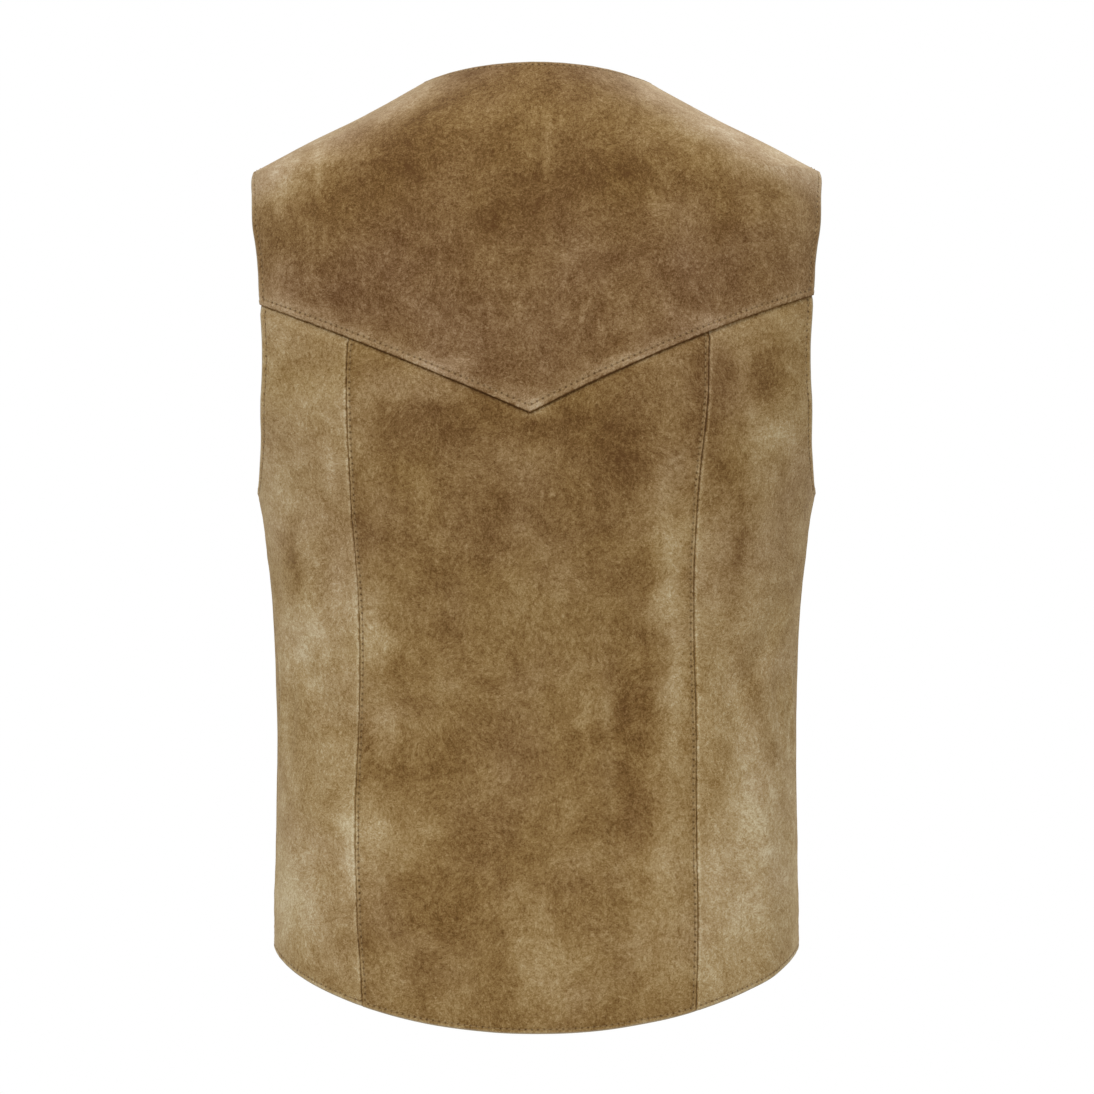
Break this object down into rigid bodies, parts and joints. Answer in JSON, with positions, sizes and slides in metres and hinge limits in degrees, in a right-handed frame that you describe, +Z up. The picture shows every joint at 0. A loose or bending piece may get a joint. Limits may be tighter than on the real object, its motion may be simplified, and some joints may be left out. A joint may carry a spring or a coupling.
{
  "type": "western vest",
  "caption": "Suede western vest, snapped shut and filled out as worn, with a pointed back yoke, long back seams, a curved hem and plain V-neck fronts.",
  "frame": {"origin": "on the centre plane between the shoulders, level with the middle of the shoulder seams, where the wearer's shoulders carry the vest", "axes": "+Z up from hem to neck, -Y the wearer's front, +X the wearer's left"},
  "size_m": [0.3743, 0.2486, 0.6215],
  "materials": {
    "suede_yoke": "napped suede",
    "suede_back": "napped suede",
    "suede_side": "napped suede",
    "suede_front": "napped suede",
    "antique_brass": "antiqued, satin"
  },
  "bodies": {
    "root": {"back_yoke": "suede_yoke", "centre_back": "suede_back", "side_back_left": "suede_side", "side_back_right": "suede_side", "front_left": "suede_front", "front_right": "suede_front", "snap_cap_1": "antique_brass", "snap_cap_2": "antique_brass", "snap_cap_3": "antique_brass", "snap_cap_4": "antique_brass", "snap_post_1": "antique_brass", "snap_post_2": "antique_brass", "snap_post_3": "antique_brass", "snap_post_4": "antique_brass"}
  },
  "joints": []
}
